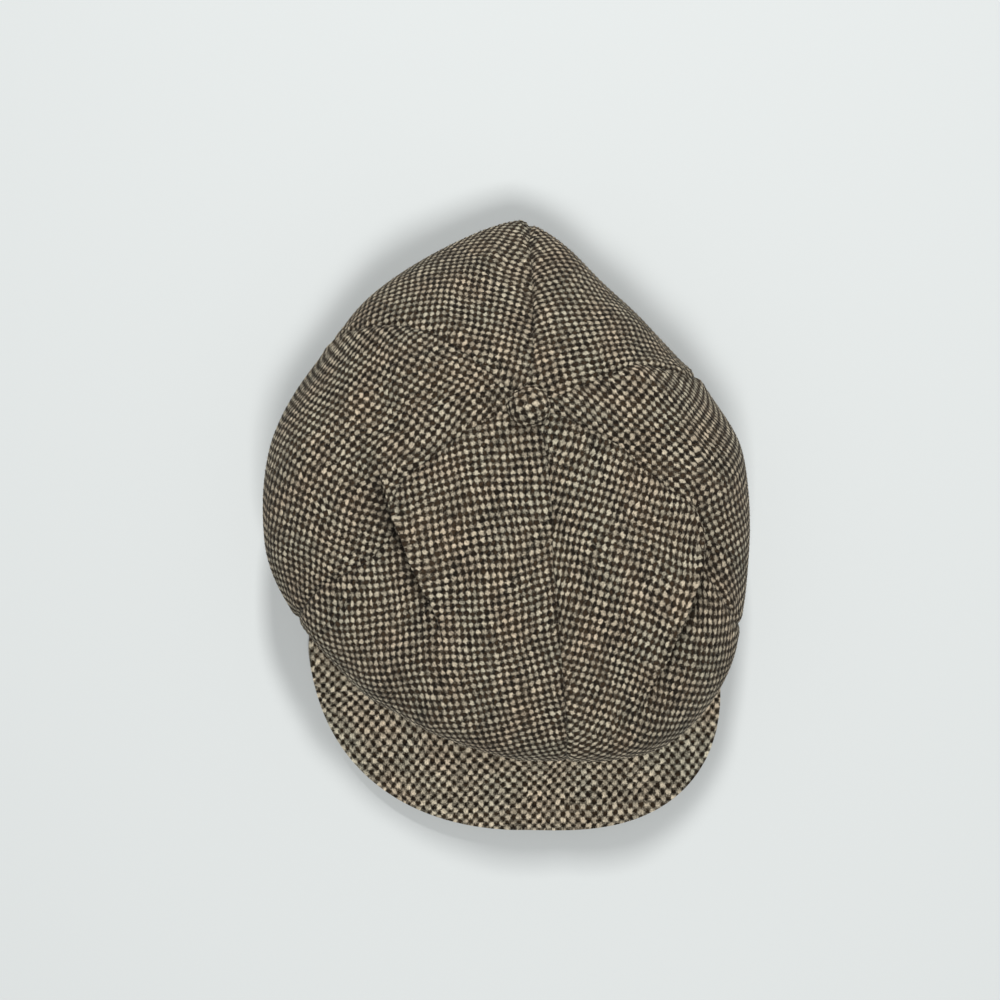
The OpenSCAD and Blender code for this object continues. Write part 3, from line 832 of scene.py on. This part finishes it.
# Buckram is cotton gauze stiffened with glue: open, coarse and straw-coloured.
buckram, tree, shader = start_material("glued cotton buckram")
cloth = add(tree, "UVMap", uv_map="cloth")
gauze = add(tree, "TexBrick", {"Vector": cloth, "Color1": colour("#CDBF9E"),
            "Color2": colour("#D8CCB0"), "Mortar": colour("#8D8063"), "Scale": 1,
            "Mortar Size": 0.12 * MM, "Brick Width": 0.9 * MM, "Row Height": 0.9 * MM},
            offset=0, squash=1)
gauze_bump = add(tree, "Bump", {"Height": gauze.outputs[1], "Strength": 0.5, "Distance": 0.1 * MM},
                 invert=True)
fill(tree, shader, {"Base Color": gauze, "Normal": gauze_bump, "Roughness": 0.8})
stiffener_columns = 400
profile = [(2.35 * MM, s, 0.5 * MM if s < 0.5 else -1 * MM) for s in np.linspace(1, 0, 9)]
profile += [(3.25 * MM, s, 0.5 * MM if s < 0.5 else -1 * MM) for s in np.linspace(0, 1, 9)]
grid = band_strip(profile, stiffener_columns)
down = length_along(grid[:, :1], 0)
level = np.linspace(0, 1, stiffener_columns)
stiffener_around = np.interp(level, np.linspace(0, 1, band_columns), around)
uv = np.stack([stiffener_around * np.ones((len(profile), 1)), down * np.ones(stiffener_columns)], -1)
stiffener = cloth_object("stiffener_strip", grid, uv, buckram)
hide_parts("band_stiffener")
follow_visor(stiffener)

# ---------------------------------------------------------------------------------------------
# Sweatband and care label
# A black cotton twill tape, 27 mm wide, folded over its lower edge and topstitched there, with
# its ends overlapped at the back. A bare satin label is caught in it.
# ---------------------------------------------------------------------------------------------
twill, tree, shader = start_material("black cotton twill tape")
cloth = add(tree, "UVMap", uv_map="cloth")
across, along = add(tree, "SeparateXYZ", {0: cloth}).outputs[:2]
# Twill lines are 0.5 mm apart; they are drawn at 0.9 mm so that they show.
lines = add(tree, "Math", {0: across, 1: along}, operation="ADD")
lines = add(tree, "Math", {0: lines, 1: 2 * math.pi / (0.9 * MM)}, operation="MULTIPLY")
lines = add(tree, "Math", {0: lines}, operation="SINE")
lines = add(tree, "Math", {0: lines, 1: 0.5, 2: 0.5}, operation="MULTIPLY_ADD")
lint = add(tree, "TexNoise", {"Vector": cloth, "Scale": 1400, "Detail": 4}, noise_dimensions="2D")
dusty = add(tree, "Math", {0: lines, 1: lint}, operation="MULTIPLY")
twill_face = add(tree, "Mix", {0: dusty, 6: colour("#121214"), 7: colour("#3A393B")}, data_type="RGBA")
twill_bump = add(tree, "Bump", {"Height": lines, "Strength": 0.5, "Distance": 0.15 * MM})
fill(tree, shader, {"Base Color": twill_face.outputs[2], "Normal": twill_bump, "Roughness": 0.85,
                    "Sheen Weight": 0.25})
sweat_rows, sweat_columns = 26, 700
profile = [(3.6 * MM, 1, -2.4 * MM), (3.9 * MM, 1, -1.3 * MM), (4.4 * MM, 1, -1.1 * MM)]
profile += [((4.75 + 0.25 * math.sin(math.pi * s)) * MM, s, blend(0.9, -1.6, s) * MM)
            for s in np.linspace(1, 0, sweat_rows)]
profile += [(4.5 * MM, 0, 0.5 * MM), (3.9 * MM, 0, 0.15 * MM), (3.0 * MM, 0, 0.1 * MM),
            (2.2 * MM, 0, 0.15 * MM), (2.15 * MM, 0, 1.2 * MM)]
grid = band_strip(profile, sweat_columns)
level = np.linspace(0, 1, sweat_columns)
sweat_around = np.interp(level, np.linspace(0, 1, band_columns), around) * 0.955
puckers = sway(np.stack([sweat_around * np.ones((len(profile), 1)),
                         grid[..., 2] * 0.4], -1), 33, ((19 * MM, 0.22 * MM), (8 * MM, 0.1 * MM)))
above_foot = grid[..., 2] - band_foot(np.linspace(-180, 180, sweat_columns))
hem = np.exp(-((above_foot - 4.2 * MM) / (0.8 * MM)) ** 2)
push = puckers * 0.8 - 0.35 * MM * hem
push[:4] = 0
push[-5:] = 0
centre = -grid[..., :2] / np.linalg.norm(grid[..., :2], axis=-1, keepdims=True)
grid[..., :2] += centre * push[..., None]
down = length_along(grid[:, :1], 0)
uv = np.stack([sweat_around * np.ones((len(profile), 1)), down * np.ones(sweat_columns)], -1)
sweatband = cloth_object("sweatband_tape", grid, uv, twill)
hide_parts("sweatband")
follow_visor(sweatband)

thread, tree, shader = start_material("spun polyester thread")
place = add(tree, "TexCoord").outputs["Object"]
plies = add(tree, "TexNoise", {"Vector": place, "Scale": 2500, "Detail": 2})
thread_face = add(tree, "Mix", {0: plies, 6: colour("#3B3A3A"), 7: colour("#5A5857")}, data_type="RGBA")
fill(tree, shader, {"Base Color": thread_face.outputs[2], "Roughness": 0.6})


def stitch_row(stitches, points, length, thickness):
    """Adds one small spindle of thread for each stitch along a line of points."""
    for here, there in zip(points[:-1], points[1:]):
        way = there - here
        far = np.linalg.norm(way)
        new = bmesh.ops.create_uvsphere(stitches, u_segments=6, v_segments=5, radius=1)["verts"]
        turn = mathutils.Vector(way).to_track_quat("Z", "Y").to_matrix().to_4x4()
        size = mathutils.Matrix.Diagonal((thickness, thickness, min(length, far) / 2, 1))
        at = mathutils.Matrix.Translation(mathutils.Vector((here + there) / 2))
        bmesh.ops.transform(stitches, matrix=at @ turn @ size, verts=new)


stitches = bmesh.new()
angle = np.linspace(-176, 176, 170)
line = np.column_stack([band_point(angle, 4.95 * MM), band_foot(angle) + 4.4 * MM])
stitch_row(stitches, line, 2.6 * MM, 0.22 * MM)
mesh = as_mesh(stitches, "sweatband_stitches")
mesh.shade_smooth()
mesh.materials.append(thread)
topstitching = new_object("sweatband_stitches", mesh)
follow_visor(topstitching)

label_tape, tree, shader = start_material("white woven satin tape")
cloth = add(tree, "UVMap", uv_map="cloth")
ribs = add(tree, "TexWave", {"Vector": cloth, "Scale": satin_scale, "Distortion": 0.6},
           wave_type="BANDS")
label_face = add(tree, "Mix", {0: ribs, 6: colour("#D9D6CC"), 7: colour("#ECE9E0")}, data_type="RGBA")
label_bump = add(tree, "Bump", {"Height": ribs, "Strength": 0.3, "Distance": 0.08 * MM})
fill(tree, shader, {"Base Color": label_face.outputs[2], "Normal": label_bump, "Roughness": 0.5})
label_low, label_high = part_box("care_label")
label_rows, label_columns = 18, 26
half = math.degrees(math.asin(label_high.x / band_x))
angle = 180 + np.linspace(-half, half, label_columns)
levels = np.linspace(label_high.z, label_low.z, label_rows)
curl = 0.5 * MM * np.linspace(0, 1, label_rows)[:, None] ** 2 * np.cos(np.radians((angle - 180) * 8))
plan = band_point(angle, 5.4 * MM)[None] * np.ones((label_rows, 1, 1))
plan = plan - plan / np.linalg.norm(plan, axis=-1, keepdims=True) * curl[..., None]
grid = np.concatenate([plan, levels[:, None, None] * np.ones((1, label_columns, 1))], -1)
uv = np.stack([np.ones((label_rows, 1)) * np.linspace(0, 24 * MM, label_columns),
               (levels[0] - levels)[:, None] * np.ones(label_columns)], -1)
label = cloth_object("label_tape", grid, uv, label_tape)
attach(label, "cap")
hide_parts("care_label")

# ---------------------------------------------------------------------------------------------
# Visor
# A stiff plastic board between two covers of tweed on the straight grain. The covers meet in a
# seam round the board's edge, and are sewn in between the headband and the sweatband.
# ---------------------------------------------------------------------------------------------
horn_y = -band_y * math.cos(math.radians(horn_angle))
visor_side_y = horn_y - 28 * MM
visor_half = band_x + 21 * MM
visor_reach = 52 * MM
visor_tip = band_y + visor_reach
board_thickness, visor_cloth, board_margin = 1.8 * MM, 1.7 * MM, 5 * MM
horn_height = board_thickness / 2 + sewn_gap + visor_cloth + 3 * MM
horn_width = 3 * MM


def visor_edge(turn):
    """A point on the visor's edge: turn runs from -180 at one horn over 0 at the tip to 180."""
    side = np.abs(turn) > 90
    sine, cosine = np.sin(np.radians(turn)), np.cos(np.radians(turn))
    base = np.where(side, horn_x + horn_width, 0)
    x = np.sign(turn) * (base + (visor_half - base) * np.abs(sine) ** 0.77)
    reach = np.where(side, horn_y - visor_side_y, visor_tip + visor_side_y)
    y = visor_side_y - reach * shaped(cosine, np.where(side, 1, 0.77))
    skew = np.where(side, 0, 8 * MM * np.sin(np.radians(2 * turn)))
    return np.stack([x + skew * sine, y - skew * cosine], -1)


def visor_root(turn, inset):
    """The point where the visor starts on the headband, for the same turn as at its edge."""
    size = np.abs(turn)
    angle = np.where(size > 90, blend(50, horn_angle, size / 90 - 1), 50 * size / 90)
    return band_point(np.sign(turn) * angle, inset)


def visor_middle(plan, root):
    """The height of the board's middle: arched from side to side and sloping from its root."""
    drop = np.linalg.norm(plan - root, axis=-1) / visor_reach
    return horn_height + visor_arch * (1 - (plan[..., 0] / visor_half) ** 2) - 1 * MM * drop


def visor_cover(way, columns, rows):
    """One cover: out from its root over the board, then round the edge to the seam."""
    turn = np.linspace(-180, 180, columns)
    root, edge = visor_root(turn, -0.8 * MM), visor_edge(turn)
    reach = np.linalg.norm(edge - root, axis=-1)
    half = board_thickness / 2 + sewn_gap + visor_cloth
    shares = np.concatenate([[-0.02, -0.01], np.linspace(0, 1, rows)])
    lines = []
    for share in shares:
        plan = blend(root, edge, share)
        lines.append(np.column_stack([plan, visor_middle(plan, root)
                     + way * np.where(share < 0, half - 1.2 * MM, half)]))
    grid = np.array(lines)
    share = shares[:, None]
    to_edge = (1 - share) * reach
    thin = ease(1 - to_edge / (board_margin - 0.9 * MM)) * (half - 0.95 * visor_cloth - 0.2 * MM)
    rounding = visor_cloth * (1 - np.sqrt(np.clip(1 - ease(1 - to_edge / (1.6 * MM)), 0, 1)))
    grid[..., 2] -= way * (thin * (share > 0) + rounding * 0.9)
    return grid, share, reach


# painted light: the visor's copy of the tweed is made about 1.6 times as bright as the crown's, standing
# in for the light that falls on it
visor_tweed_painted_brighter = basket_tweed("basket-weave tweed, visor", -0.06, 1.62)
visor_columns = 560
for name, node, way in (("visor_top_cloth", "visor_top_cover", 1),
                        ("visor_under_cloth", "visor_under_cover", -1)):
    grid, share, reach = visor_cover(way, visor_columns, 110)
    uv = grid[..., :2] * np.array([0.93, 0.84])
    uv = wander(uv, 40 + way)
    if way < 0:
        # under the root the cloth turns in below the headband to the sweatband
        inner = visor_root(np.linspace(-180, 180, visor_columns), 3.6 * MM)
        foot_angle = np.degrees(np.arctan2(inner[:, 0] / band_x, -inner[:, 1] / band_y))
        foot = np.minimum(band_foot(foot_angle) - 0.5 * MM, grid[0, :, 2])
        foot = np.maximum(foot, grid[0, :, 2] - 3 * MM)
        turned_in = np.column_stack([inner, foot])
        grid = np.concatenate([turned_in[None], blend(turned_in, grid[0], 0.5)[None], grid])
        uv = np.concatenate([uv[:1]] * 2 + [uv])
    slack = sway(grid[..., :2], 61, ((60 * MM, 0.35 * MM), (25 * MM, 0.15 * MM)))
    relief = weave_depth * (weave_relief(uv) - 0.5)
    stitched = np.exp(-(((1 - share) * reach - 5.2 * MM) / (0.9 * MM)) ** 2) * (share > 0.4)
    if way < 0:
        stitched = np.concatenate([stitched[:1]] * 2 + [stitched])
    normal = normals_of(grid)
    normal *= way * np.sign(normal[grid.shape[0] // 2, visor_columns // 2, 2])
    push = slack + relief - 0.5 * MM * stitched - 0.5 * MM
    push[:3] = -0.3 * MM if way > 0 else 0
    push[-1:] = 0
    grid = grid + normal * push[..., None]
    cover = cloth_object(name, grid if way > 0 else grid[:, ::-1], uv if way > 0 else uv[:, ::-1],
                         visor_tweed_painted_brighter)
    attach(cover, "visor")
    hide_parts(node)

# The board is moulded polyethylene sheet, milky and faintly marbled.
board, tree, shader = start_material("moulded polyethylene board")
place = add(tree, "TexCoord").outputs["Object"]
marble = add(tree, "TexNoise", {"Vector": place, "Scale": 90, "Detail": 3})
board_face = add(tree, "Mix", {0: marble, 6: colour("#D8D8D4"), 7: colour("#E8E8E4")}, data_type="RGBA")
fill(tree, shader, {"Base Color": board_face.outputs[2], "Roughness": 0.45})
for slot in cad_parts["visor_board"].material_slots:
    slot.material = board

# ---------------------------------------------------------------------------------------------
# The studio: a pale floor, a soft lamp from behind the crown, a panel before it and an even sky
# ---------------------------------------------------------------------------------------------
studio = bmesh.new()
bmesh.ops.create_grid(studio, x_segments=1, y_segments=1, size=3)
floor_mesh = as_mesh(studio, "floor")
floor = new_object("floor", floor_mesh)
floor_paint, tree, shader = start_material("pale matt paint")
fill(tree, shader, {"Base Color": colour("#C4C7C6"), "Roughness": 0.9})
# seen from below, the floor is clear, so that the cap's inside can be looked at
behind = add(tree, "NewGeometry").outputs["Backfacing"]
clear = add(tree, "BsdfTransparent")
either = add(tree, "MixShader", {0: behind, 1: shader, 2: clear})
fill(tree, tree.nodes["Material Output"], {"Surface": either})
floor_mesh.materials.append(floor_paint)

for name, size, energy, place, tilt in (("soft box", 0.25, 28, (0.1, 1.2, 1.65), -36),
                                        ("front panel", 0.5, 27, (0.03, -0.65, 1.95), 18)):
    lamp_data = bpy.data.lights.new(name, "AREA")
    lamp_data.size = size
    lamp_data.energy = energy
    lamp = new_object(name, lamp_data)
    lamp.location = place
    lamp.rotation_euler = (math.radians(tilt), 0, 0)

world = bpy.data.worlds.new("sky")
bpy.context.scene.world = world
world.use_nodes = True
fill(world.node_tree, world.node_tree.nodes["Background"], {0: colour("#E8ECEF"), 1: 0.33})

camera_data = bpy.data.cameras.new("camera")
camera_data.sensor_width = 36
camera_height, half_view = 1.2, 0.265  # half_view is what it takes in to each side, on the floor
camera_data.lens = 18 / (half_view / camera_height)
camera = new_object("camera", camera_data)
camera.location = (-0.0023, 0.0139, camera_height)
camera.rotation_euler = (0, 0, math.radians(-3))
bpy.context.scene.camera = camera
bpy.context.scene.view_settings.view_transform = "Standard"
